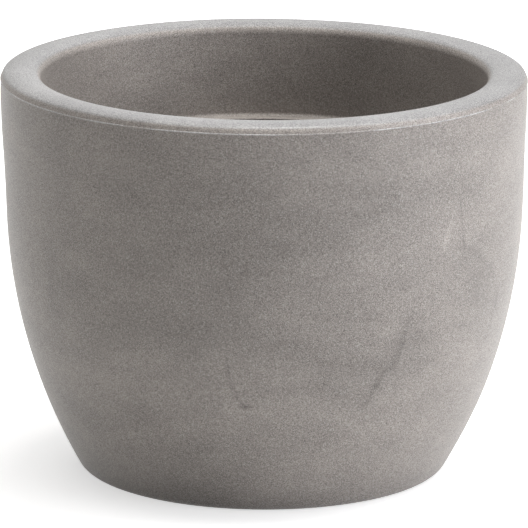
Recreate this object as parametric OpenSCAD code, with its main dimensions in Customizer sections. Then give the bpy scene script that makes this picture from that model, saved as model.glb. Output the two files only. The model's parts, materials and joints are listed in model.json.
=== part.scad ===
// Round bowl planter: one hollow moulding with a folded, double-walled rim,
// and a rubber bung that closes the drain hole in its base.
// Millimetres, +Z up. The origin is on the floor, on the pot's axis.

/* [Pot] */
// Outer diameter, measured over the mould line round the rim
rim_d = 390; // [370:1:410]
// Height from the floor to the top of the rim
pot_h = 301; // [285:1:315]
// Thickness of the moulded skin, the same all over
skin = 5; // [4:0.5:6]
// How far the upper wall leans outwards, in degrees
wall_lean = 2.2; // [1:0.1:3.5]
// Height where the straight upper wall turns into the belly
belly_h = 193.5; // [180:0.5:210]
// Radius of the belly curve, from the upper wall down to the base
belly_r = 422; // [400:1:450]

/* [Base] */
// Radius of the rounded corner where the belly meets the floor
corner_r = 10; // [7:0.5:14]
// Width of the flat ring that the pot stands on
foot_w = 22; // [15:1:30]
// How far the middle of the base is raised off the floor
kick_h = 7; // [4:0.5:10]
// Radius of both bends between the foot ring and the raised middle
kick_r = 14; // [11:0.5:20]

/* [Rim] */
// Width from the rim's outer edge to the foot of the collar inside it
rim_w = 34.7; // [28:0.1:42]
// How far in from the rim's outer edge its crown is highest
crest_in = 14.7; // [13:0.1:17]
// Radius of the shallow crown across the top of the rim
crown_r = 36; // [26:1:60]
// Radius of the bend between the crown and the bevel outside it
shoulder_r = 3; // [1:0.5:4]
// How far the bevel under that bend leans in, in degrees
bevel_lean = 22; // [15:1:40]
// How far the mould line, where the bevel meets the wall, lies below the top
seam_drop = 6.8; // [6:0.1:9]
// How far the fine mould line stands out from the wall
seam_r = 0.4; // [0.2:0.1:0.6]
// Radius of the bend between the crown and the collar inside it
lip_r = 5; // [4:0.5:8]
// Radius of both bends inside the hollow rim, behind the bevel and behind the lip
hollow_r = 3; // [2:0.5:4]
// How far the collar leans in towards the ledge, in degrees
collar_draft = 2.5; // [1:0.1:4]
// Depth of the ledge below the top of the rim
ledge_depth = 71.5; // [55:0.5:85]
// Radius of the fillet between the collar and the ledge
ledge_fillet = 3; // [2:0.5:5]
// Width of the ledge, from the foot of the collar to the opening cut in it
ledge_w = 9.3; // [6:0.1:14]

/* [Drain] */
// Diameter of the drain hole in the middle of the base
drain_d = 25; // [18:0.5:32]
// Gap all round between the bung's stem and the drain hole
stem_gap = 0.08; // [0.05:0.01:0.1]
// How far the stem reaches out under the skin
stem_reach = 3; // [2:0.5:3.5]
// Bevel round the tip of the stem
stem_bevel = 1.5; // [0.5:0.5:2]
// How far the bung's flange laps over the edge of the hole
flange_lap = 6; // [4:0.5:9]
// Thickness of the flange
flange_t = 4; // [3:0.5:6]
// Rounding on the flange's upper edge
flange_round = 1.5; // [0.5:0.5:2.5]
// Diameter of the knob that the bung is pulled out by
knob_d = 16; // [12:0.5:20]
// Thickness of the knob, rounded to half its height
knob_t = 6; // [4:0.5:8]
// Diameter of the neck under the knob
neck_d = 9; // [7:0.5:11]
// Height of the neck between the flange and the knob
neck_h = 6; // [4:0.5:9]

/* [Hidden] */

pot_grey = "#8f8a86";
rubber_black = "#2e2d2c";
turn_fn = 128;
// The most that a chord may stray from the arc that it stands for, and the fewest chords on an arc
chord_gap = 0.02;
chords_min = 3;

// The upper wall, which starts under the mould line and leans in down to the belly
seam_z = pot_h - seam_drop;
wall_r = rim_d / 2 - seam_r;
belly_top = [wall_r - (seam_z - belly_h) * tan(wall_lean), belly_h];
// The belly's centre lies on the far side of the axis, square to the wall where they join
belly_c = belly_top + belly_r * [-cos(wall_lean), sin(wall_lean)];
// The base corner touches the floor and lies inside the belly's circle
corner_x = belly_c.x + sqrt(pow(belly_r - corner_r, 2) - pow(belly_c.y - corner_r, 2));
corner_c = [corner_x, corner_r];
corner_a = atan2(corner_c.y - belly_c.y, corner_c.x - belly_c.x);

// Two equal bends lift the base from the foot ring to its raised middle
kick_a = acos(1 - kick_h / (2 * kick_r));
foot_in_c = [corner_x - foot_w, kick_r];
kick_c = [foot_in_c.x - 2 * kick_r * sin(kick_a), kick_h - kick_r];

// The rim, folded over a hollow, with a crown that is the arc of one circle
crown_c = [rim_d / 2 - crest_in, pot_h - crown_r];
// The collar's face runs up and out from its foot on the ledge
ledge_z = pot_h - ledge_depth;
collar_foot_r = rim_d / 2 - rim_w;
opening_r = collar_foot_r - ledge_w;
function collar_r(z) = collar_foot_r + (z - ledge_z) * tan(collar_draft);
// The fillet at the foot of the collar lies inside its face
fillet_z = ledge_z + ledge_fillet;
fillet_c = [collar_r(fillet_z) - ledge_fillet / cos(collar_draft), fillet_z];

// The bung seats on the raised floor inside the pot
drain_r = drain_d / 2;
floor_z = kick_h + skin;
stem_r = drain_r - stem_gap;
flange_r = drain_r + flange_lap;
flange_top = floor_z + flange_t;
knob_c = [knob_d / 2 - knob_t / 2, flange_top + neck_h + knob_t / 2];

// Points along an arc, in either direction, as fine as chord_gap asks
function arc(centre, r, from, to) =
    let (steps = max(chords_min, ceil(abs(to - from) / (2 * acos(1 - chord_gap / r)))))
    [for (i = [0 : steps]) let (a = from + (to - from) * i / steps) centre + r * [cos(a), sin(a)]];

// A bend whose centre is on the hidden side of the skin, so its hidden side is tighter
function round_out(centre, r, from, to, depth) = arc(centre, r - depth, from, to);

// A bend whose centre is on the open side of the skin, so its hidden side is wider
function round_in(centre, r, from, to, depth) = arc(centre, r + depth, from, to);

// The angle at which one place lies as seen from another
function angle_to(place, from) = atan2(place.y - from.y, place.x - from.x);

// The centre of a bend of radius r, inside the skin's face at this depth, that touches the circle
// of the crown and also the straight face through a point, whose open side faces this angle
function under_crown(r, point, facing, depth) =
    let (
        start = point - (r + depth) * [cos(facing), sin(facing)],
        up = sign(cos(facing)) * [-sin(facing), cos(facing)],
        away = start - crown_c,
        back = away * up
    )
    start + up * (sqrt(back * back - away * away + pow(crown_r - depth - r, 2)) - back);

// One face of the skin from the drain hole out along the base, up the belly and the wall.
// A depth of 0 is the face that shows, and a depth of skin is the one behind it.
function base_and_wall(depth) = concat(
    [[drain_r, kick_h + depth]],
    round_in(kick_c, kick_r, 90, 90 - kick_a, depth),
    round_out(foot_in_c, kick_r, 270 - kick_a, 270, depth),
    round_out(corner_c, corner_r, -90, corner_a, depth),
    round_out(belly_c, belly_r, corner_a, -wall_lean, depth)
);

// The same face on from the mould line, over the rim and down the collar to the edge of the ledge,
// with its own radius for the bend outside the crown and for the one inside it
function rim_and_ledge(depth, outer_facing, outer_r, inner_r) =
    let (
        inner_facing = 180 - collar_draft,
        outer_c = under_crown(outer_r, [wall_r, seam_z], outer_facing, depth),
        inner_c = under_crown(inner_r, [collar_r(pot_h), pot_h], inner_facing, depth),
        crown_from = angle_to(outer_c, crown_c),
        crown_to = angle_to(inner_c, crown_c)
    )
    concat(
        arc(outer_c, outer_r, outer_facing, crown_from),
        arc(crown_c, crown_r - depth, crown_from, crown_to),
        arc(inner_c, inner_r, crown_to, inner_facing),
        round_in(fillet_c, ledge_fillet, -collar_draft, -90, depth),
        [[opening_r, ledge_z - depth]]
    );

// The fine ridge where the two halves of the mould met
function mould_line() = arc([wall_r, seam_z], seam_r, -90, 90 + bevel_lean);

function reversed(points) = [for (i = [len(points) - 1 : -1 : 0]) points[i]];

// The pot: a skin of even thickness, turned about the axis, hollow inside the rim
module pot_shell() {
    shown = concat(base_and_wall(0), mould_line(), rim_and_ledge(0, bevel_lean, shoulder_r, lip_r));
    hidden = concat(base_and_wall(skin), rim_and_ledge(skin, -wall_lean, hollow_r, hollow_r));
    color(pot_grey) rotate_extrude($fn = turn_fn) polygon(concat(shown, reversed(hidden)));
}

// The bung: stem through the drain hole, flange on the floor of the pot, neck and round knob
module drain_plug() {
    color(rubber_black) rotate_extrude($fn = turn_fn) polygon(concat(
        [[0, kick_h - stem_reach]],
        [[stem_r - stem_bevel, kick_h - stem_reach]],
        [[stem_r, kick_h - stem_reach + stem_bevel]],
        [[stem_r, floor_z]],
        [[flange_r, floor_z]],
        arc([flange_r - flange_round, flange_top - flange_round], flange_round, 0, 90),
        [[neck_d / 2, flange_top]],
        [[neck_d / 2, flange_top + neck_h]],
        arc(knob_c, knob_t / 2, -90, 90),
        [[0, flange_top + neck_h + knob_t]]
    ));
}

pot_shell();
drain_plug();
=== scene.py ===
# %% [markdown]
# # A concrete-look bowl planter
# The planter is one hollow moulding, turned about a standing axis, with a rubber bung in its drain hole.
# This lesson dresses the construction model: it keeps the model's sizes, gives the pot a skin with the
# small faults of a real moulding, and works out the speckled concrete-look finish.
# The construction model comes in first, as a fixed frame. Nothing in it is moved.

# %% Load the construction model
import json
import math

import bpy
import numpy as np
from mathutils import Matrix, Vector


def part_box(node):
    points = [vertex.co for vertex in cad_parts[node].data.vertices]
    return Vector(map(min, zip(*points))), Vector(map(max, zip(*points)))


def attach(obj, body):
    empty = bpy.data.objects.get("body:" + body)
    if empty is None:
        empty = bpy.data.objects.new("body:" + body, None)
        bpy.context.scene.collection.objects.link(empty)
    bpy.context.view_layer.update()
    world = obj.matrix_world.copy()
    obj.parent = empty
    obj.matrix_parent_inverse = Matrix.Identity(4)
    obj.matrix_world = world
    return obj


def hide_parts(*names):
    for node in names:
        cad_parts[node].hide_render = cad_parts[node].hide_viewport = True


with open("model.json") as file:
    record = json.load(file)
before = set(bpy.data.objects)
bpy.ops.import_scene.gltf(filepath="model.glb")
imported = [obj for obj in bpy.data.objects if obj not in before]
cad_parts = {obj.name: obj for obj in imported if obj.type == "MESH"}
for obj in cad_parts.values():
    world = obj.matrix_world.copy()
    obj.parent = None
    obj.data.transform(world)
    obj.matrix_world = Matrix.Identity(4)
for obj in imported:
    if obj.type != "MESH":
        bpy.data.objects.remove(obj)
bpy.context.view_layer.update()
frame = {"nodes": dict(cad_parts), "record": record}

# %% [markdown]
# ## Sizes
# The frame says how wide and how high the pot is, where its ledge lies, how wide the opening in the
# ledge is and how thick the skin is. The rest of the section is a handful of bends, widths and leaning
# faces. They could be typed in as points, but then no one could tell what a point is for. So each is
# named once here, in metres and degrees, and every point follows from them.
# Four of them leave the construction model by a little, because the photographed pot does. The bend
# between crown and bevel is 4 mm and not 3, and the bevel leans in by 18 degrees and not 22, so the rim
# is a little fuller there. The lip inside the rim is softer, with a bend of 7 mm and not 5, and the
# collar under it leans by 4.2 degrees and not 2.5, so the mouth is a little wider.

# %% Sizes of the pot
MM = 0.001
mounts = {mount["name"]: mount for mount in frame["record"]["mounts"]}
pot_top_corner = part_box("pot_shell")[1]
RIM_R = pot_top_corner.x
POT_H = pot_top_corner.z
LEDGE_Z = mounts["liner_ledge"]["pos_m"][2]
OPENING_R = mounts["ledge_opening"]["dims"]["r_mm"] * MM
SKIN = mounts["ledge_opening"]["dims"]["length_mm"] * MM

# The upper wall, the belly's big curve and the corner where it meets the floor
WALL_LEAN = 2.2
BELLY_H = 193.5 * MM
BELLY_R = 422 * MM
CORNER_R = 10 * MM
# The flat foot ring and the two bends that raise the middle of the base inside it
FOOT_W = 22 * MM
KICK_H = 7 * MM
KICK_R = 14 * MM
# The rim: its crown, the bevel outside it, the mould line under that, the lip, and the hollow inside
CREST_IN = 14.7 * MM
CROWN_R = 36 * MM
SHOULDER_R = 4 * MM
BEVEL_LEAN = 18
SEAM_DROP = 6.8 * MM
SEAM_R = 0.4 * MM
LIP_R = 7 * MM
HOLLOW_R = 3 * MM
# The collar, the ledge at its foot, the drain hole and the broken corners of both cut edges
COLLAR_DRAFT = 4.2
LEDGE_FILLET = 3 * MM
LEDGE_W = 9.3 * MM
DRAIN_R = 12.5 * MM
CUT_ROUND = 0.5 * MM
print(f"pot {2 * RIM_R / MM:.1f} mm wide, {POT_H / MM:.1f} mm high, ledge at {LEDGE_Z / MM:.1f} mm")

# %% [markdown]
# ## The bends of the skin
# A pot like this is made by letting plastic powder melt onto the inside of a turning mould, so it has a
# skin of even thickness that follows every bend, and a rim that is hollow. The section could be traced
# as one free curve, but every real mould is cut from straights and arcs that run smoothly into each
# other. So the section is arcs too: each has a centre, a radius and two angles, and the centres are
# worked out here from the sizes, so that every arc is tangent to the faces beside it.

# %% Arcs and their centres
# An arc has a point about every 9 degrees, and three steps at the least
FEWEST_STEPS = 3
BEND_STEP = 9.0


def tan(degrees):
    """The tangent of an angle in degrees."""
    return math.tan(math.radians(degrees))


def bend(centre, radius, start, end, step=BEND_STEP):
    """Points on an arc: the centre plus radius times (cos a, sin a), a going evenly from start to end."""
    count = max(FEWEST_STEPS, math.ceil(abs(end - start) / step))
    angle = np.radians(np.linspace(start, end, count + 1))
    return np.array(centre) + radius * np.column_stack([np.cos(angle), np.sin(angle)])


def section_centres():
    """The centre of each bend, as (radius from the axis, height), each tangent to its neighbours."""
    seam_z = POT_H - SEAM_DROP
    wall_r = RIM_R - SEAM_R
    lean = math.radians(WALL_LEAN)
    belly_top_r = wall_r - (seam_z - BELLY_H) * math.tan(lean)
    belly = (belly_top_r - BELLY_R * math.cos(lean), BELLY_H + BELLY_R * math.sin(lean))
    inner_reach = BELLY_R - CORNER_R
    corner = (belly[0] + math.sqrt(inner_reach**2 - (belly[1] - CORNER_R) ** 2), CORNER_R)
    kick_angle = math.degrees(math.acos(1 - KICK_H / (2 * KICK_R)))
    foot_in = (corner[0] - FOOT_W, KICK_R)
    kick = (foot_in[0] - 2 * KICK_R * math.sin(math.radians(kick_angle)), KICK_H - KICK_R)
    collar_foot = OPENING_R + LEDGE_W
    draft_cos = math.cos(math.radians(COLLAR_DRAFT))
    fillet_r = collar_foot + LEDGE_FILLET * tan(COLLAR_DRAFT) - LEDGE_FILLET / draft_cos
    return {
        "seam": (wall_r, seam_z),
        "belly": belly,
        "corner": corner,
        "corner_angle": math.degrees(math.atan2(corner[1] - belly[1], corner[0] - belly[0])),
        "foot_in": foot_in,
        "kick": kick,
        "kick_angle": kick_angle,
        "crown": (RIM_R - CREST_IN, POT_H - CROWN_R),
        "collar_top": (collar_foot + (POT_H - LEDGE_Z) * tan(COLLAR_DRAFT), POT_H),
        "fillet": (fillet_r, LEDGE_Z + LEDGE_FILLET),
    }


CENTRE = section_centres()
WALL_R, SEAM_Z = CENTRE["seam"]
print(f"mould line {SEAM_Z / MM:.1f} mm up, on a wall of radius {WALL_R / MM:.1f} mm")

# %% [markdown]
# ## Both faces of the skin
# The plainest way to draw a skin is to walk along the face that shows and then back along the hidden
# one. A Solidify modifier would find the hidden face by itself, but it would follow the rim's top where
# the real hollow has bends of its own. So each function takes a depth: 0 is the face that shows, and
# the skin's thickness is the hidden one. A bend whose centre is behind the skin gets tighter with the
# depth, and one whose centre is in front of it gets wider. The bends on both sides of the crown have to
# touch a straight face and the crown's circle at once, and Pythagoras gives their centres.

# %% Shown and hidden faces
# The large arcs take smaller steps, in degrees, so that they stay as round as the small ones
BELLY_STEP = 0.8
CROWN_STEP = 2.5


def base_to_wall(depth):
    """The skin's face from the raised middle of the base, over the foot ring and up to the upper wall."""
    kick_angle, corner_angle = CENTRE["kick_angle"], CENTRE["corner_angle"]
    return [
        bend(CENTRE["kick"], KICK_R + depth, 90, 90 - kick_angle),
        bend(CENTRE["foot_in"], KICK_R - depth, 270 - kick_angle, 270),
        bend(CENTRE["corner"], CORNER_R - depth, -90, corner_angle),
        bend(CENTRE["belly"], BELLY_R - depth, corner_angle, -WALL_LEAN, BELLY_STEP),
    ]


def under_crown(radius, point, facing, depth):
    """The centre of a bend inside the crown's circle, touching it and the straight face at a point."""
    normal = np.array([math.cos(math.radians(facing)), math.sin(math.radians(facing))])
    upward = np.array([-normal[1], normal[0]]) * math.copysign(1, normal[0])
    start = np.array(point) - (radius + depth) * normal
    away = start - np.array(CENTRE["crown"])
    across = away @ upward
    reach = CROWN_R - depth - radius
    return start + upward * (math.sqrt(across**2 - away @ away + reach**2) - across)


def angle_to(place, centre):
    """The angle, in degrees, at which a place lies as seen from a centre."""
    return math.degrees(math.atan2(place[1] - centre[1], place[0] - centre[0]))


def rim_to_ledge(depth, outer_facing, outer_r, inner_r):
    """The skin's face on from the mould line, over the rim's crown and down the collar to the ledge."""
    inner_facing = 180 - COLLAR_DRAFT
    outer = under_crown(outer_r, CENTRE["seam"], outer_facing, depth)
    inner = under_crown(inner_r, CENTRE["collar_top"], inner_facing, depth)
    crown_from, crown_to = angle_to(outer, CENTRE["crown"]), angle_to(inner, CENTRE["crown"])
    return [
        bend(outer, outer_r, outer_facing, crown_from),
        bend(CENTRE["crown"], CROWN_R - depth, crown_from, crown_to, CROWN_STEP),
        bend(inner, inner_r, crown_to, inner_facing),
        bend(CENTRE["fillet"], LEDGE_FILLET + depth, -COLLAR_DRAFT, -90),
    ]


shown_rim = rim_to_ledge(0.0, BEVEL_LEAN, SHOULDER_R, LIP_R)
print("arcs on the face that shows:", len(base_to_wall(0.0) + shown_rim))

# %% [markdown]
# ## The closed section
# Two features are left: the mould line, a ridge of 0.4 mm where the halves of the mould met, and the two
# edges that a cutter left, at the ledge and at the drain hole. Their corners are broken by half a
# millimetre, because no real edge is sharp. A Bevel modifier could break them, but it would have to be
# told which of thousands of edges to take, and in the section they are only four more small arcs.
# The arcs are then joined into one loop. A straight gets a point close to each end, which keeps the
# shading of the bends out of it.

# %% The section as one loop
# The smallest arcs take large steps, in degrees
SMALL_STEP = 22.5
# A straight's outermost points lie this far from its ends, and no two of its points lie further apart
# than the longest step. Ends that are closer than the last value are one point.
EDGE_STEP = 0.3 * MM
LONGEST_STEP = 8 * MM
SAME_PLACE = 0.001 * MM


def cut_edge(radius, top, bottom):
    """The edge that a cutter leaves round a hole: down its wall, with both corners broken."""
    centre_r = radius + CUT_ROUND
    return [
        bend((centre_r, top - CUT_ROUND), CUT_ROUND, 90, 180, SMALL_STEP),
        bend((centre_r, bottom + CUT_ROUND), CUT_ROUND, 180, 270, SMALL_STEP),
    ]


def section_arcs():
    """All the arcs, once round: shown face, ledge edge, hidden face and drain edge."""
    seam = bend(CENTRE["seam"], SEAM_R, -90, 90 + BEVEL_LEAN, SMALL_STEP)
    shown = base_to_wall(0.0) + [seam] + shown_rim
    hidden = base_to_wall(SKIN) + rim_to_ledge(SKIN, -WALL_LEAN, HOLLOW_R, HOLLOW_R)
    back = [arc[::-1] for arc in reversed(hidden)]
    ledge_edge = cut_edge(OPENING_R, LEDGE_Z, LEDGE_Z - SKIN)
    drain_edge = cut_edge(DRAIN_R, KICK_H + SKIN, KICK_H)
    return shown + ledge_edge + back + drain_edge


def joined(arcs):
    """A closed loop of the arcs and the straights between them. A straight has a point EDGE_STEP from
    each of its ends, and even steps between those."""
    points = []
    for arc, following in zip(arcs, arcs[1:] + arcs[:1]):
        start, end = arc[-1], following[0]
        length = math.dist(start, end)
        points.append(arc if length > SAME_PLACE else arc[:-1])
        if length > 3 * EDGE_STEP:
            count = math.ceil((length - 2 * EDGE_STEP) / LONGEST_STEP)
            share = np.linspace(EDGE_STEP, length - EDGE_STEP, count + 1)[:, None] / length
            points.append(start + (end - start) * share)
    return np.vstack(points)


section = joined(section_arcs())
print("points in the section:", len(section))

# %% [markdown]
# ## Small faults of a moulding
# A skin that cooled in its mould is never quite round: it pulls in here and there by a few tenths of a
# millimetre, and light shows that on a matt wall. Noise with a period would do, but a sum of cosine
# waves is easier to hold to a limit: every wave fits a whole number of times round the pot, so the
# field closes on itself. Each field is named by how many waves it has, how often the quickest goes
# round the pot, and the length in metres of the shortest up the wall.

# %% Smooth fields round the pot
SEED = 7
RIDGE_WAVES = {"count": 12, "most_round": 40, "shortest": 1.0}
SLOW_WAVES = {"count": 9, "most_round": 5, "shortest": 0.25}
DIMPLE_WAVES = {"count": 40, "most_round": 24, "shortest": 0.05}
RIM_WAVES = {"count": 8, "most_round": 7, "shortest": 1.0}
rng = np.random.default_rng(SEED)


def waves(turn, height, count, most_round, shortest):
    """A smooth field from 0 to 1: the sum of cosines of (whole number x turn + height / length + phase)."""
    rounds = rng.integers(1, most_round + 1, count)
    lengths = rng.uniform(shortest, 4 * shortest, count)
    phases = rng.uniform(0, 2 * np.pi, count)
    total = np.zeros(np.broadcast(turn, height).shape)
    for k in range(count):
        total = total + np.cos(rounds[k] * turn + 2 * np.pi * height / lengths[k] + phases[k])
    return (total - total.min()) / (total.max() - total.min())


def smooth_step(value, low, high):
    """0 below low, 1 above high, and 3t^2 - 2t^3 between them."""
    t = np.clip((value - low) / (high - low), 0, 1)
    return t * t * (3 - 2 * t)


print("a quarter of the way up, a smooth step is at", smooth_step(0.25, 0, 1))

# %% [markdown]
# ## Fuller sides
# Seen from the front, the real pot is not quite the same on both sides. Just under the rim both sides
# swell by up to 0.8 mm, and on the right the belly swells by up to 1.6 mm. A lattice could push them
# out, but here two products of smooth steps do it: one factor says on which side the swelling is, and
# the others between which heights. All of it ends under the mould line, so the pot keeps its width.

# %% How far the wall swells
FULL_TOP = 0.8 * MM
TOP_GROWS = (0.215, 0.265)
FULL_SIDE = 1.6 * MM
SIDE_GROWS = (0.0, 0.07)
SIDE_ENDS = (0.205, 0.26)
SWELLING_ENDS = (0.28, SEAM_Z - SEAM_R)
# Only the outer wall swells: all that lies under the ledge, and above it what is far enough out
UNDER_LEDGE = LEDGE_Z - 2 * SKIN
FAR_OUT = RIM_R - 4 * SKIN


def fullness(turn, radius, height):
    """How far the wall swells: a little under the rim on both sides, and more in the belly on one side."""
    both = smooth_step(np.abs(np.cos(turn)), 0, 1)
    right = smooth_step(np.cos(turn), 0, 1)
    under_rim = FULL_TOP * both * smooth_step(height, *TOP_GROWS)
    belly = FULL_SIDE * right * smooth_step(height, *SIDE_GROWS) * (1 - smooth_step(height, *SIDE_ENDS))
    on_wall = (height < UNDER_LEDGE) | (radius > FAR_OUT)
    return (under_rim + belly) * on_wall * (1 - smooth_step(height, *SWELLING_ENDS))


halfway_up = (SIDE_GROWS[1] + SIDE_ENDS[0]) / 2
print("belly swells on the right by", round(fullness(0.0, WALL_R, halfway_up) / MM, 2), "mm")

# %% [markdown]
# ## The pot's skin as one surface
# The section is carried round the axis: a grid of turn angle by place along the section. Spin or a
# Screw modifier would turn it too, but with numpy the faults go in as plain sums on the same grid. The
# dips only ever take the skin inwards, so the pot keeps its outer size, and they fade out towards the
# drain hole, where the bung has to fit. The mould line is the one feature that turning alone doesn't
# give: it is higher where the halves of the mould met badly, so its height follows a field of its own.

# %% Turn the section
TURNS = 320
# How far the skin is out of round, how deep its small dips are, and how far the rim sinks in places
OUT_OF_ROUND = 0.2 * MM
DIMPLES = 0.08 * MM
RIM_DIP = 0.15 * MM
# The mould line's lowest height as a share of its full height, and the radius where the dips end
LEAST_RIDGE = 0.6
CALM_BASE_R = 3 * DRAIN_R


def turned_skin(loop):
    """x = r cos t, y = r sin t, z = z, where t is the turn and (r, z) the loop, less the faults."""
    turn = np.linspace(0, 2 * np.pi, TURNS, endpoint=False)[:, None]
    radius, height = loop[:, 0][None, :], loop[:, 1][None, :]
    one_height = 0 * height
    proud = np.clip(radius - WALL_R, 0, None)
    ridge = LEAST_RIDGE + (1 - LEAST_RIDGE) * waves(turn, one_height, **RIDGE_WAVES)
    free = smooth_step(radius, CALM_BASE_R, CENTRE["corner"][0])
    pull = OUT_OF_ROUND * waves(turn, height, **SLOW_WAVES)
    pull = pull + DIMPLES * waves(turn, height, **DIMPLE_WAVES)
    dip = RIM_DIP * waves(turn, one_height, **RIM_WAVES) * smooth_step(height, BELLY_H, POT_H)
    r = radius - proud * (1 - ridge) - free * (pull - fullness(turn, radius, height))
    z = np.broadcast_to(height, r.shape) - dip
    return np.stack([r * np.cos(turn), r * np.sin(turn), z], axis=-1)


skin_points = turned_skin(section)
print("grid of the skin:", skin_points.shape[:2], "turns by places along the section")

# %% [markdown]
# A grid of points becomes a mesh when each little square of four neighbours is made a face. The grid
# wraps round both ways, because the pot closes on itself and so does its section. Which way the faces
# look is easy to get wrong, so it is measured: the volume that the faces enclose comes out negative
# when they look inwards, and then every face is turned.

# %% From a grid to a mesh
CM3 = 1e-6


def closed_grid(name, points):
    """A mesh from a grid of points that closes on itself both ways, with its faces turned outwards.
    A face joins the points (i, j), (i + 1, j), (i + 1, j + 1) and (i, j + 1). The volume is a sixth of
    the sum of a . (b x c) over all triangles."""
    rows, columns = points.shape[:2]
    index = np.arange(rows * columns).reshape(rows, columns)
    down, across = np.roll(index, -1, axis=0), np.roll(index, -1, axis=1)
    quads = np.stack([index, down, np.roll(down, -1, axis=1), across], axis=-1).reshape(-1, 4)
    flat = points.reshape(-1, 3)
    a, b, c, d = (flat[quads[:, k]] for k in range(4))
    volume = np.sum(a * np.cross(b, c) + a * np.cross(c, d)) / 6
    if volume < 0:
        quads = quads[:, ::-1]
    mesh = bpy.data.meshes.new(name)
    mesh.from_pydata(flat.tolist(), [], quads.tolist())
    mesh.shade_smooth()
    piece = bpy.data.objects.new(name, mesh)
    bpy.context.scene.collection.objects.link(piece)
    print(name, "has", len(quads), "quads and holds", round(abs(volume) / CM3, 1), "cm3 of plastic")
    return piece


pot = closed_grid("moulded_pot", skin_points)
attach(pot, "pot")
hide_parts("pot_shell")

# %% [markdown]
# ## Building materials
# A material here is a graph of nodes. It could be wired by hand in the editor, but a script can be read
# and changed. One helper makes a node, sets what is a plain value and links what comes from another
# node, so that a whole recipe reads from top to bottom.

# %% A helper for any node
def put(tree, kind, inputs=None, **settings):
    """Add a node, give it its settings, and set or link each named or numbered input."""
    node = tree.nodes.new(kind)
    for key, value in settings.items():
        setattr(node, key, value)
    for key, value in (inputs or {}).items():
        if isinstance(value, bpy.types.NodeSocket):
            tree.links.new(value, node.inputs[key])
        else:
            node.inputs[key].default_value = value
    return node


def fresh_tree(holder):
    """The emptied node tree of a material or a world."""
    holder.use_nodes = True
    holder.node_tree.nodes.clear()
    return holder.node_tree


print("node helpers:", put.__name__, "and", fresh_tree.__name__)

# %% [markdown]
# Most of a recipe is arithmetic on single numbers: a share is added, a level is taken down, a value is
# spread over a range. A Color Ramp could do the last, but a formula with named values says more.

# %% Helpers for numbers
def maths(tree, operation, *values):
    """The result of one Math node on up to three values or sockets."""
    return put(tree, "ShaderNodeMath", dict(enumerate(values)), operation=operation).outputs[0]


def times(tree, first, second):
    """First times second."""
    return maths(tree, "MULTIPLY", first, second)


def minus(tree, first, second):
    """First minus second."""
    return maths(tree, "SUBTRACT", first, second)


def swing(tree, value, amount):
    """1 where value is one half, and amount more or less for each 1 that value is over or under it."""
    return maths(tree, "MULTIPLY_ADD", value, amount, 1 - amount / 2)


def lighten(tree, level, mark, amount):
    """A level, raised by a share of itself where the mark is 1. A negative amount takes it down."""
    return times(tree, level, maths(tree, "MULTIPLY_ADD", mark, amount, 1.0))


def ramp(tree, value, low, high, start=0.0, end=1.0):
    """A smooth change from start to end while value goes from low to high."""
    inputs = {"Value": value, "From Min": low, "From Max": high, "To Min": start, "To Max": end}
    return put(tree, "ShaderNodeMapRange", inputs, interpolation_type="SMOOTHSTEP").outputs[0]


print("number helpers:", [helper.__name__ for helper in (maths, times, minus, swing, lighten, ramp)])

# %% [markdown]
# Places are vectors and pigments are colours, and each has nodes of its own. These helpers name them.

# %% Helpers for vectors and colours
def vector_maths(tree, operation, inputs):
    """The outputs of one Vector Math node."""
    return put(tree, "ShaderNodeVectorMath", inputs, operation=operation).outputs


def parts_of(tree, vector):
    """The three numbers of a vector, as sockets."""
    return put(tree, "ShaderNodeSeparateXYZ", {0: vector}).outputs


def blend_colours(tree, share, first, second, how="MIX"):
    """First and second colour mixed by share, in the way that how names."""
    inputs = {"Factor": share, 6: first, 7: second}
    return put(tree, "ShaderNodeMix", inputs, data_type="RGBA", blend_type=how).outputs[2]


print("vector and colour helpers:", [helper.__name__ for helper in (vector_maths, parts_of, blend_colours)])

# %% [markdown]
# ## Effects that materials share
# An effect is a node group with named inputs and outputs. It is built once, and each material places it
# with its own values, so the two finishes don't have to be kept alike by hand. A group puts out only
# masks and values. Shaders stay in the material, where the values come together.

# %% Helpers for effects
FLOAT = "NodeSocketFloat"
VECTOR = "NodeSocketVector"


def effect(name, inputs, outputs):
    """A new node group with these input and output sockets, and its inner input and output nodes."""
    group = bpy.data.node_groups.new(name, "ShaderNodeTree")
    for label, kind, value in inputs:
        socket = group.interface.new_socket(label, in_out="INPUT", socket_type=kind)
        if value is not None:
            socket.default_value = value
    for label, kind in outputs:
        group.interface.new_socket(label, in_out="OUTPUT", socket_type=kind)
    inside = group.nodes.new("NodeGroupInput").outputs
    return group, inside, group.nodes.new("NodeGroupOutput").inputs


def use(tree, group, inputs):
    """Place an effect in a material with its own values, and give its outputs."""
    return put(tree, "ShaderNodeGroup", inputs, node_tree=group).outputs


print("kinds of socket in the effects:", FLOAT, VECTOR)

# %% [markdown]
# ## The speckle
# The look of concrete comes from grains of light and dark pigment, each under a millimetre, melted into
# the skin. Noise would give soft blots. A Voronoi texture splits space into cells and gives each cell a
# random colour, which is just what a grain is: a small spot of one shade with a clear edge. Two layers
# of cells lie over each other, so that no cell pattern shows, and the cells with the highest draw stand
# out as pale grains. A fine noise is the skin's own roughness, for the bump. The bung is dusty with the
# same grains, so the effect is a group that both materials use.

# %% Effect: pigment grains
# The second layer's cells are this much finer, and the pits are twice as coarse as the cells
FINER_LAYER = 1.37
PITS_PER_GRAIN = 0.5


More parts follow.
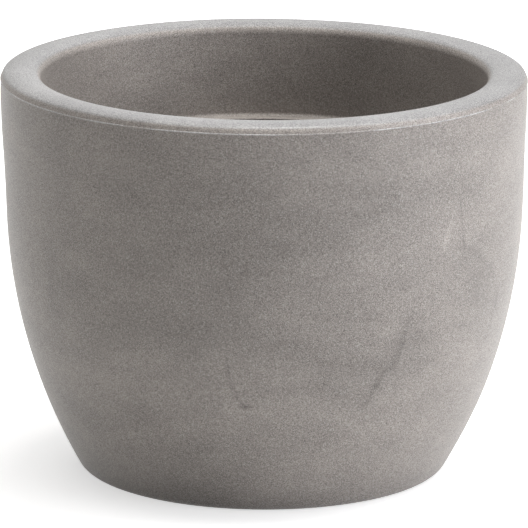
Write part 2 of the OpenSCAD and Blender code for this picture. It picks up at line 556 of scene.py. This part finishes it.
def grains_effect():
    """Shade: a random grey in each cell, 0 to 1. Pale: 1 in a few cells. Height: fine pits."""
    group, inside, out = effect(
        "pigment_grains",
        [("Place", VECTOR, None), ("Per metre", FLOAT, 2400.0), ("Pale share", FLOAT, 0.06)],
        [("Shade", FLOAT), ("Pale", FLOAT), ("Height", FLOAT)],
    )
    place, per_metre = inside["Place"], inside["Per metre"]
    first = put(group, "ShaderNodeTexVoronoi", {"Vector": place, "Scale": per_metre})
    finer = times(group, per_metre, FINER_LAYER)
    second = put(group, "ShaderNodeTexVoronoi", {"Vector": place, "Scale": finer})
    both = blend_colours(group, 0.5, first.outputs["Color"], second.outputs["Color"])
    lots = put(group, "ShaderNodeSeparateColor", {0: both})
    one_lot = put(group, "ShaderNodeSeparateColor", {0: first.outputs["Color"]})
    pale = maths(group, "GREATER_THAN", one_lot.outputs[1], minus(group, 1.0, inside["Pale share"]))
    pits_per_metre = times(group, per_metre, PITS_PER_GRAIN)
    pits = {"Vector": place, "Scale": pits_per_metre, "Detail": 2.0, "Roughness": 0.5}
    rough = put(group, "ShaderNodeTexNoise", pits)
    group.links.new(lots.outputs[0], out["Shade"])
    group.links.new(pale, out["Pale"])
    group.links.new(rough.outputs["Fac"], out["Height"])
    return group


pigment_grains = grains_effect()
print("effect made:", pigment_grains.name)

# %% [markdown]
# ## The clouds
# Powder never spreads evenly in the mould, so paler and darker clouds a few centimetres across lie in
# the colour. One noise alone gives round blots. Here a first noise bends the place that a second one is
# read at, which pulls the blots into wisps. The pot reads the clouds twice, as broad ones and small
# ones. The small ones go faintly into the roughness too.

# %% Effect: soft clouds
HALF = (0.5, 0.5, 0.5)


def clouds_effect():
    """Cloud: noise read at place + swirl x (a first noise - one half)."""
    group, inside, out = effect(
        "soft_clouds",
        [("Place", VECTOR, None), ("Per metre", FLOAT, 20.0), ("Swirl", FLOAT, 0.02)],
        [("Cloud", FLOAT)],
    )
    place, per_metre = inside["Place"], inside["Per metre"]
    drift = put(group, "ShaderNodeTexNoise", {"Vector": place, "Scale": per_metre})
    centred = vector_maths(group, "SUBTRACT", {0: drift.outputs["Color"], 1: HALF})[0]
    push = vector_maths(group, "SCALE", {0: centred, "Scale": inside["Swirl"]})[0]
    moved = vector_maths(group, "ADD", {0: place, 1: push})[0]
    wisps = {"Vector": moved, "Scale": per_metre, "Detail": 5.0, "Roughness": 0.45}
    cloud = put(group, "ShaderNodeTexNoise", wisps)
    group.links.new(cloud.outputs["Fac"], out["Cloud"])
    return group


soft_clouds = clouds_effect()
print("effect made:", soft_clouds.name)

# %% [markdown]
# ## A flat map of the wall
# Scuffs and rubbed places are put on the pot one by one, and for that the round wall needs a flat map. A
# UV map could be unrolled, but the two numbers can be worked out from the place itself: metres round
# the pot from the front, at a radius of 180 mm, and metres above the floor.

# %% Effect: the wall map
MAP_R = 0.18


def wall_map_effect():
    """Wall: (MAP_R x the turn from the front, the height, 0)."""
    group, inside, out = effect("wall_map", [("Place", VECTOR, None)], [("Wall", VECTOR)])
    place = parts_of(group, inside["Place"])
    turn = maths(group, "ARCTAN2", place[0], times(group, place[1], -1.0))
    wall = put(group, "ShaderNodeCombineXYZ", {0: times(group, turn, MAP_R), 1: place[2]})
    group.links.new(wall.outputs[0], out["Wall"])
    return group


wall_map = wall_map_effect()
print("effect made:", wall_map.name)

# %% [markdown]
# ## A smear
# A pot that has been carried about has thin curved smears where something dragged along the wall. A
# painted picture could hold them, but a formula stays sharp at any distance. A smear follows a power
# curve, which starts straight and swings out more and more, as the sweep of an arm does. It shakes a
# little, and fades at both ends. Where the curve runs aslant, the distance to it is shorter than the
# step sideways, and dividing by the slope's length keeps the smear as wide there as elsewhere.

# %% Effect: a smear
SHAKE_PER_METRE = 60.0
# The share of the width that is dark all over, and the shares of the reach where it fades in and out
FULL_CORE = 0.1
SMEAR_BEGINS = (-0.15, 0.2)
SMEAR_ENDS = (0.9, 1.08)
# The power curve has no value before its start, so t is held just above 0 there
TINY = 0.0001


def smear_effect():
    """A line along x = start + reach t^bend, where t goes from 0 to 1 up or down the wall."""
    lengths = [("Wall", VECTOR, None), ("Start", VECTOR, None), ("Reach", VECTOR, None)]
    shape = [("Bend", FLOAT, 2.5), ("Width", FLOAT, 0.002), ("Wobble", FLOAT, 0.003)]
    group, inside, out = effect("smear", lengths + shape, [("Mark", FLOAT)])
    wall, start, reach = (parts_of(group, inside[key]) for key in ("Wall", "Start", "Reach"))
    power, width = inside["Bend"], inside["Width"]
    along = maths(group, "DIVIDE", minus(group, wall[1], start[1]), reach[1])
    begun = maths(group, "MAXIMUM", along, TINY)
    sway = times(group, reach[0], maths(group, "POWER", begun, power))
    slope = maths(group, "DIVIDE", times(group, sway, power), times(group, begun, reach[1]))
    lean = maths(group, "SQRT", maths(group, "MULTIPLY_ADD", slope, slope, 1.0))
    shaking = {"Vector": inside["Wall"], "Scale": SHAKE_PER_METRE, "Detail": 4.0}
    shake = put(group, "ShaderNodeTexNoise", shaking).outputs["Fac"]
    wobble = times(group, minus(group, shake, 0.5), inside["Wobble"])
    aside = minus(group, maths(group, "ADD", wall[0], wobble), maths(group, "ADD", start[0], sway))
    distance = maths(group, "DIVIDE", maths(group, "ABSOLUTE", aside), lean)
    line = ramp(group, distance, times(group, width, FULL_CORE), width, 1.0, 0.0)
    ends = times(group, ramp(group, along, *SMEAR_BEGINS), ramp(group, along, *SMEAR_ENDS, 1.0, 0.0))
    group.links.new(times(group, line, ends), out["Mark"])
    return group


smear = smear_effect()
print("effect made:", smear.name)

# %% [markdown]
# ## A soft spot
# Beside the smears there are soft spots: one where a smear ended, rubbed places, wide areas that are a
# little darker or paler, and pale bands round the rim that are painted light. Each is an ellipse on the
# wall map. A plain ellipse looks drawn, so noise frays its edge.

# %% Effect: a patch
FRAY_PER_METRE = 130.0


def patch_effect():
    """A soft spot: 1 at its centre and 0 where the scaled distance from it, frayed by noise, reaches 1."""
    lengths = [("Wall", VECTOR, None), ("Centre", VECTOR, None), ("Size", VECTOR, None)]
    shape = [("Lean", FLOAT, 0.0), ("Fray", FLOAT, 0.8)]
    group, inside, out = effect("patch", lengths + shape, [("Mark", FLOAT)])
    away = vector_maths(group, "SUBTRACT", {0: inside["Wall"], 1: inside["Centre"]})[0]
    leaning = {"Vector": away, "Angle": inside["Lean"]}
    turned = put(group, "ShaderNodeVectorRotate", leaning, rotation_type="Z_AXIS").outputs[0]
    scaled = vector_maths(group, "DIVIDE", {0: turned, 1: inside["Size"]})[0]
    length = vector_maths(group, "LENGTH", {0: scaled})["Value"]
    fraying = {"Vector": inside["Wall"], "Scale": FRAY_PER_METRE, "Detail": 5.0}
    noise = put(group, "ShaderNodeTexNoise", fraying).outputs["Fac"]
    fray = times(group, minus(group, noise, 0.5), inside["Fray"])
    reached = maths(group, "ADD", length, fray)
    group.links.new(ramp(group, reached, 0.0, 1.0, 1.0, 0.0), out["Mark"])
    return group


patch = patch_effect()
print("effect made:", patch.name)

# %% [markdown]
# ## The paler mould line and its painted highlight
# Where the mould closed, the plastic was stressed and then trimmed, and it is paler there. The ridge in
# the mesh catches the light too, and the band is made paler still, as a painted highlight of the
# ridge. Pointiness could look for the ridge, but it would find every bend of the rim as well. The line
# is level and its height is known, so a band round that height, kept to the outside of the pot, is enough.

# %% Effect: the trimmed line, with its painted highlight
# The share of the half width that is pale all over, and what a place is multiplied by to lose its height
SOLID_SHARE = 0.6
LEVEL_ONLY = (1, 1, 0)


def pale_line_and_highlight_effect():
    """1 on a level line round the outside of the pot, fading out at half its width above and below."""
    inputs = [("Place", VECTOR, None), ("Height", FLOAT, 0.3)]
    inputs += [("Inner radius", FLOAT, 0.19), ("Width", FLOAT, 0.001)]
    group, inside, out = effect("pale_line_and_highlight", inputs, [("Mark", FLOAT)])
    place = parts_of(group, inside["Place"])
    level = vector_maths(group, "MULTIPLY", {0: inside["Place"], 1: LEVEL_ONLY})[0]
    radius = vector_maths(group, "LENGTH", {0: level})["Value"]
    outside = maths(group, "GREATER_THAN", radius, inside["Inner radius"])
    off_line = maths(group, "ABSOLUTE", minus(group, place[2], inside["Height"]))
    half = times(group, inside["Width"], 0.5)
    line = ramp(group, off_line, times(group, half, SOLID_SHARE), half, 1.0, 0.0)
    group.links.new(times(group, line, outside), out["Mark"])
    return group


pale_line_and_highlight = pale_line_and_highlight_effect()
print("effect made:", pale_line_and_highlight.name)

# %% [markdown]
# ## The marks on this pot
# Each smear says where it starts on the wall map, how far it reaches, how it bends, how wide it is and
# how dark. The longest one is three strokes: two thin ones, which follow each other down the wall, and
# a wide faint one over both, where the rubbing spread.
# Each patch says where its centre is, how large it is, how it leans and how dark it is. A darkness
# below 0 is a paler place: a rubbed stripe and a spot on the right. The last three are painted light:
# two pale bands on the bevel under the crown, and a thin painted highlight on the bend between crown
# and bevel, in front. Noise could scatter such marks, but then they would lie where no one had rubbed,
# so each has its own line here.

# %% Marks on the pot
SMEARS = [
    {"Start": (0.1068, 0.158, 0), "Reach": (-0.0085, -0.043, 0), "Bend": 1.4, "Width": 0.0044, "dark": 0.15},
    {"Start": (0.0980, 0.119, 0), "Reach": (-0.0212, -0.036, 0), "Bend": 0.8, "Width": 0.0042, "dark": 0.14},
    {"Start": (0.1068, 0.158, 0), "Reach": (-0.0295, -0.073, 0), "Bend": 1.5, "Width": 0.0140, "dark": 0.07},
    {"Start": (-0.0254, 0.124, 0), "Reach": (0.0125, -0.035, 0), "Bend": 2.5, "Width": 0.0022, "dark": 0.16},
    {"Start": (0.2067, 0.135, 0), "Reach": (-0.0560, 0.064, 0), "Bend": 2.2, "Width": 0.0045, "dark": 0.10},
    {"Start": (0.2060, 0.150, 0), "Reach": (-0.0080, -0.036, 0), "Bend": 1.6, "Width": 0.0040, "dark": 0.10},
    {"Start": (0.1486, 0.236, 0), "Reach": (0.0090, -0.053, 0), "Bend": 1.5, "Width": 0.0025, "dark": 0.14},
]
PATCHES = [
    {"Centre": (-0.0129, 0.0893, 0), "Size": (0.0075, 0.004, 1), "dark": 0.40},
    {"Centre": (0.0860, 0.1010, 0), "Size": (0.007, 0.010, 1), "Lean": 0.5, "dark": 0.15},
    {"Centre": (0.1012, 0.1747, 0), "Size": (0.008, 0.005, 1), "dark": 0.15},
    {"Centre": (0.1153, 0.1430, 0), "Size": (0.012, 0.022, 1), "dark": 0.08},
    {"Centre": (0.0723, 0.1400, 0), "Size": (0.028, 0.008, 1), "Lean": 0.3, "dark": 0.06},
    {"Centre": (0.1365, 0.2090, 0), "Size": (0.004, 0.020, 1), "Lean": 0.27, "dark": -0.24},
    {"Centre": (0.1583, 0.1986, 0), "Size": (0.006, 0.005, 1), "dark": -0.10},
    {"Centre": (0.1725, 0.1690, 0), "Size": (0.024, 0.028, 1), "dark": 0.14},
    {"Centre": (0.0180, 0.2080, 0), "Size": (0.045, 0.010, 1), "Lean": -0.1, "dark": 0.07},
    {"Centre": (0.0640, 0.2260, 0), "Size": (0.045, 0.007, 1), "Lean": -0.42, "dark": 0.06},
    {"Centre": (-0.0500, 0.2480, 0), "Size": (0.090, 0.024, 1), "dark": 0.07},
    {"Centre": (-0.1720, 0.1600, 0), "Size": (0.014, 0.070, 1), "dark": 0.08},
    # Painted light, not wear: two pale bands on the rim's bevel and a thin painted highlight on the bend
    # under the crown
    {"Centre": (-0.0200, 0.2958, 0), "Size": (0.320, 0.0032, 1), "Fray": 0.2, "dark": -0.24},
    {"Centre": (0.0200, 0.2976, 0), "Size": (0.150, 0.0026, 1), "Fray": 0.3, "dark": -0.28},
    {"Centre": (0.0260, 0.2987, 0), "Size": (0.080, 0.0006, 1), "Fray": 0.6, "dark": -0.30},
]
print("marks:", len(SMEARS), "smears and", len(PATCHES), "patches")

# %% [markdown]
# ## The pot's finish
# Matt plastic that passes for concrete: a warm grey, speckled and clouded, with a pitted skin that
# scatters light. The clouds lie aslant and flat, as the powder slid in the turning mould, so the place
# that they are read at is tilted and squeezed first. The crown of the rim and the mould line take a
# cooler grey, which is painted sheen for the white light that they reflect, and the mould line comes
# and goes with the small clouds. These values could stand in the nodes themselves. Here they have
# names, so that a change of look is one line.

# %% Values of the concrete look
POT_GREY = (0.298, 0.270, 0.250, 1.0)
# Painted sheen: a cooler grey for the crown and the mould line, standing in for reflected white light
PAINTED_SHEEN_GREY = (0.281, 0.276, 0.276, 1.0)
PALE_GRAIN = (0.62, 0.61, 0.59, 1.0)
POT_GRAINS = {"Per metre": 2400.0, "Pale share": 0.06}
BROAD_CLOUDS = {"Per metre": 9.0, "Swirl": 0.08}
SMALL_CLOUDS = {"Per metre": 26.0, "Swirl": 0.03}
FLOW_TILT = (0.0, math.radians(14), 0.0)
FLOW_SQUEEZE = (1.0, 1.0, 1.9)
# How much the level swings with broad clouds, small clouds and grains, and how much a pale grain shows
BROAD_SWING = 0.6
SMALL_SWING = 0.45
GRAIN_SWING = 1.6
PALE_STRENGTH = 0.6
# The mould line: its width, how much paler it is, partly trimmed plastic and partly a painted highlight, and
# how it goes from faint to clear with the clouds
LINE_W = 1.1 * MM
LINE_LIFT = 0.35
LINE_INSIDE = 0.97 * RIM_R
LINE_CHANGE = (0.42, 0.58, 0.4, 1.2)
# The cooler grey of painted sheen on the crown starts this far below the top of the rim
CROWN_SHEEN_FROM = 4 * MM
# The roughness goes up from its least value with the small clouds, and pits of a fifth of a millimetre
# break up the gloss
LEAST_ROUGH = 0.36
CLOUD_ROUGH = 0.12
PITS = {"Strength": 0.5, "Distance": 0.2 * MM}
PLASTIC_IOR = 1.4
print("the level swings by", [BROAD_SWING, SMALL_SWING, GRAIN_SWING], "with clouds and grains")

# %% [markdown]
# It could be a mix of several shaders, but the real pot is one plastic all over, so one Principled
# shader has it all, and only its colour, roughness and bump change over the surface. The colour is a
# grey times one level. Clouds and grains move that level up and down round 1, and every mark takes it
# down or up. The material reads Object coordinates, so the pattern stays on the pot from any side and
# at any pose.

# %% Material: concrete-look plastic
def marked(tree, level, place):
    """The level, taken down or up by each smear and patch."""
    wall = use(tree, wall_map, {"Place": place})["Wall"]
    for recipe, marks in ((smear, SMEARS), (patch, PATCHES)):
        for mark in marks:
            settings = {key: value for key, value in mark.items() if key != "dark"}
            made = use(tree, recipe, {"Wall": wall, **settings})["Mark"]
            level = lighten(tree, level, made, -mark["dark"])
    return level


def concrete_look():
    """The pot's material: its colour, roughness and bump from grains, clouds and marks, with painted light
    on the rim and painted sheen on its crown.
    """
    material = bpy.data.materials.new("concrete_look_plastic")
    tree = fresh_tree(material)
    place = put(tree, "ShaderNodeTexCoord").outputs["Object"]
    grains = use(tree, pigment_grains, {"Place": place, **POT_GRAINS})
    sliding = {"Vector": place, "Rotation": FLOW_TILT, "Scale": FLOW_SQUEEZE}
    flow = put(tree, "ShaderNodeMapping", sliding).outputs[0]
    broad = use(tree, soft_clouds, {"Place": flow, **BROAD_CLOUDS})["Cloud"]
    small = use(tree, soft_clouds, {"Place": flow, **SMALL_CLOUDS})["Cloud"]
    clouds = times(tree, swing(tree, broad, BROAD_SWING), swing(tree, small, SMALL_SWING))
    level = marked(tree, times(tree, clouds, swing(tree, grains["Shade"], GRAIN_SWING)), place)
    # The mould line is made paler: partly trimmed plastic, partly a painted highlight of its ridge
    trim = {"Place": place, "Height": SEAM_Z, "Inner radius": LINE_INSIDE, "Width": LINE_W}
    line = use(tree, pale_line_and_highlight, trim)["Mark"]
    clear = times(tree, line, ramp(tree, small, *LINE_CHANGE))
    level = lighten(tree, level, clear, LINE_LIFT)
    shade = put(tree, "ShaderNodeCombineColor", {0: level, 1: level, 2: level}).outputs[0]
    # Painted sheen: the crown and the mould line take a cooler grey that stands in for the white light they
    # reflect
    height = parts_of(tree, place)[2]
    crown_sheen = ramp(tree, height, POT_H - CROWN_SHEEN_FROM, POT_H - CROWN_SHEEN_FROM / 2)
    painted_sheen = maths(tree, "MAXIMUM", crown_sheen, clear)
    grey = blend_colours(tree, painted_sheen, POT_GREY, PAINTED_SHEEN_GREY)
    toned = blend_colours(tree, 1.0, grey, shade, "MULTIPLY")
    colour = blend_colours(tree, times(tree, grains["Pale"], PALE_STRENGTH), toned, PALE_GRAIN)
    rough = maths(tree, "MULTIPLY_ADD", small, CLOUD_ROUGH, LEAST_ROUGH)
    bump = put(tree, "ShaderNodeBump", {"Height": grains["Height"], **PITS}).outputs[0]
    look = {"Base Color": colour, "Roughness": rough, "Normal": bump, "IOR": PLASTIC_IOR}
    shader = put(tree, "ShaderNodeBsdfPrincipled", look)
    put(tree, "ShaderNodeOutputMaterial", {"Surface": shader.outputs[0]})
    return material


pot.data.materials.append(concrete_look())
pot_finish = pot.data.materials[0]
print("pot finish:", pot_finish.name, "with", len(pot_finish.node_tree.nodes), "nodes")

# %% [markdown]
# ## The bung
# The bung is pulled out when the pot stands outdoors, so that rain can drain. It keeps its construction
# solid, which has the stem, flange, neck and knob that it should, and a new mesh would add nothing.
# It needs only its finish: black rubber, greyed by a dust of the same grains and clouds as the pot's.

# %% Material: dusty rubber
BLACK_RUBBER = (0.02, 0.02, 0.02, 1.0)
DUST_GREY = (0.12, 0.115, 0.11, 1.0)
DUST_GRAINS = {"Per metre": 1600.0, "Pale share": 0.05}
DUST_CLOUDS = {"Per metre": 90.0, "Swirl": 0.01}
RUBBER_ROUGH = 0.5
DUST_ROUGH = 0.2
RUBBER_PITS = {"Strength": 0.2, "Distance": 0.1 * MM}


def dusty_rubber():
    """The bung's material: black, moved towards dust grey where clouds and grains are strong."""
    material = bpy.data.materials.new("dusty_rubber")
    tree = fresh_tree(material)
    place = put(tree, "ShaderNodeTexCoord").outputs["Object"]
    grains = use(tree, pigment_grains, {"Place": place, **DUST_GRAINS})
    cloud = use(tree, soft_clouds, {"Place": place, **DUST_CLOUDS})["Cloud"]
    colour = blend_colours(tree, times(tree, cloud, grains["Shade"]), BLACK_RUBBER, DUST_GREY)
    rough = maths(tree, "MULTIPLY_ADD", cloud, DUST_ROUGH, RUBBER_ROUGH)
    bump = put(tree, "ShaderNodeBump", {"Height": grains["Height"], **RUBBER_PITS}).outputs[0]
    look = {"Base Color": colour, "Roughness": rough, "Normal": bump}
    shader = put(tree, "ShaderNodeBsdfPrincipled", look)
    put(tree, "ShaderNodeOutputMaterial", {"Surface": shader.outputs[0]})
    return material


bung = frame["nodes"]["drain_plug"]
bung.data.materials.clear()
bung.data.materials.append(dusty_rubber())
print("bung finish:", bung.data.materials[0].name)

# %% [markdown]
# ## The floor and the world
# The pot stands on a white floor before a white world, as in a catalogue. More light would make them
# white, but it would wash out the pot. So the floor glows a little, for the camera and for mirror
# images alone, and lights nothing. Near the pot the glow is weak enough to leave the soft shadow under
# the base. Further off, less light falls on the floor, so the glow grows with the distance until it is
# white by itself.

# %% Floor and world
FLOOR_SIZE = 12.0
FLOOR_WHITE = (0.85, 0.85, 0.85, 1.0)
FLOOR_GLOW = 0.6
GLOW_FROM = 0.6
GLOW_TO = 1.8
WORLD_LEVEL = 0.02


def seen_rays(tree):
    """1 for rays from the camera, off a glossy surface or through a clear one, and 0 for all others."""
    path = put(tree, "ShaderNodeLightPath").outputs
    mirrored = maths(tree, "MAXIMUM", path["Is Glossy Ray"], path["Is Transmission Ray"])
    return maths(tree, "MAXIMUM", path["Is Camera Ray"], mirrored)


def white_floor():
    """One large square, matt white, with a glow that is seen but lights nothing."""
    corner = FLOOR_SIZE / 2
    mesh = bpy.data.meshes.new("floor")
    ends = [(-corner, -corner, 0), (corner, -corner, 0), (corner, corner, 0), (-corner, corner, 0)]
    mesh.from_pydata(ends, [], [(0, 1, 2, 3)])
    floor = bpy.data.objects.new("floor", mesh)
    bpy.context.scene.collection.objects.link(floor)
    material = bpy.data.materials.new("white_floor")
    tree = fresh_tree(material)
    place = put(tree, "ShaderNodeTexCoord").outputs["Object"]
    distance = vector_maths(tree, "LENGTH", {0: place})["Value"]
    level = ramp(tree, distance, GLOW_FROM, GLOW_TO, FLOOR_GLOW, 1.0)
    matt = put(tree, "ShaderNodeBsdfDiffuse", {"Color": FLOOR_WHITE})
    glow = put(tree, "ShaderNodeEmission", {"Strength": times(tree, seen_rays(tree), level)})
    both = put(tree, "ShaderNodeAddShader", {0: matt.outputs[0], 1: glow.outputs[0]})
    put(tree, "ShaderNodeOutputMaterial", {"Surface": both.outputs[0]})
    mesh.materials.append(material)


def white_world():
    """A world that looks white and lights the pot hardly at all."""
    world = bpy.data.worlds.new("studio")
    bpy.context.scene.world = world
    tree = fresh_tree(world)
    levels = {"Value": seen_rays(tree), "To Min": WORLD_LEVEL, "To Max": 1.0}
    level = put(tree, "ShaderNodeMapRange", levels)
    back = put(tree, "ShaderNodeBackground", {"Strength": level.outputs[0]})
    put(tree, "ShaderNodeOutputWorld", {"Surface": back.outputs[0]})


white_floor()
white_world()
print(f"floor {FLOOR_SIZE:.0f} m wide, and a world that lights the pot at {WORLD_LEVEL}")

# %% [markdown]
# ## The lamps
# A matt pot wants soft light, so the lamps are square panels. A single one overhead would leave the
# wall flat. Here a column of panels on the right, from low to high, gives the light its direction. One
# high on the left answers it, a weak one low on the left and one behind lift the far edges, and two
# small ones overhead light the crown of the rim and the inside of the mouth. The low panels on the
# right are a little cool and the high ones a little warm, as a window's and a ceiling's light would be.
# Each panel is placed by an angle round the pot and an angle above the floor, so that it can be moved
# as a photographer would.

# %% Lamps
LAMP_DISTANCE = 2.2
WIDE = 1.1
NARROW = 0.5
COOL = (0.98, 1.0, 1.045)
WARM = (1.015, 1.0, 0.975)


def panel(name, azimuth, elevation, size, power, colour):
    """A square lamp panel that faces the middle of the pot. Azimuth 0 is the camera's side, 90 is +X."""
    around, above = math.radians(azimuth), math.radians(elevation)
    out = math.cos(above)
    way = Vector((math.sin(around) * out, -math.cos(around) * out, math.sin(above)))
    lamp = bpy.data.lights.new(name, "AREA")
    lamp.size = size
    lamp.energy = power
    lamp.color = colour
    holder = bpy.data.objects.new(name, lamp)
    holder.location = Vector((0, 0, POT_H / 2)) + way * LAMP_DISTANCE
    holder.rotation_euler = way.to_track_quat("Z", "Y").to_euler()
    bpy.context.scene.collection.objects.link(holder)
    return lamp


lamps = [
    panel("low_front", azimuth=30, elevation=12, size=WIDE, power=2.2, colour=COOL),
    panel("low_right", azimuth=60, elevation=12, size=WIDE, power=11.9, colour=COOL),
    panel("low_side", azimuth=75, elevation=12, size=WIDE, power=11.5, colour=COOL),
    panel("side_right", azimuth=90, elevation=35, size=WIDE, power=8.0, colour=COOL),
    panel("key_right", azimuth=90, elevation=58, size=WIDE, power=11.5, colour=WARM),
    panel("high_right", azimuth=90, elevation=75, size=WIDE, power=15.5, colour=WARM),
    panel("high_left", azimuth=270, elevation=75, size=WIDE, power=14.2, colour=WARM),
    panel("edge_left", azimuth=270, elevation=12, size=WIDE, power=4.1, colour=WARM),
    panel("behind", azimuth=180, elevation=35, size=WIDE, power=3.8, colour=COOL),
    panel("top_behind", azimuth=180, elevation=76, size=NARROW, power=9.6, colour=WARM),
    panel("top_front", azimuth=0, elevation=80, size=NARROW, power=4.4, colour=WARM),
]
watts = sum(lamp.energy for lamp in lamps)
print("lamps:", len(lamps), "with", round(watts, 1), "W in all")

# %% [markdown]
# ## The camera
# The photograph was taken with a long lens from a little above the rim. Any lens could fill the frame
# with the pot, but only one distance draws its ellipses right. A camera whose outline of the pot fits
# the photograph's stands four metres off and looks fourteen degrees down.

# %% Camera
CAMERA_PLACE = (0.00062, -4.0703, 1.16723)
LENS_MM = 384.07
SENSOR_MM = 36.0
LOOK_DOWN = 14.0063
ROLL = 0.2896

camera = bpy.data.objects.new("camera", bpy.data.cameras.new("camera"))
camera.data.sensor_width = SENSOR_MM
camera.data.lens = LENS_MM
pitch = Matrix.Rotation(math.radians(90 - LOOK_DOWN), 4, "X")
roll = Matrix.Rotation(math.radians(ROLL), 4, "Z")
camera.matrix_world = Matrix.Translation(CAMERA_PLACE) @ (pitch @ roll)
bpy.context.scene.collection.objects.link(camera)
bpy.context.scene.camera = camera
bpy.context.scene.view_settings.view_transform = "Standard"
print(f"camera {-CAMERA_PLACE[1]:.2f} m in front, {CAMERA_PLACE[2]:.2f} m up, lens {LENS_MM:.0f} mm")
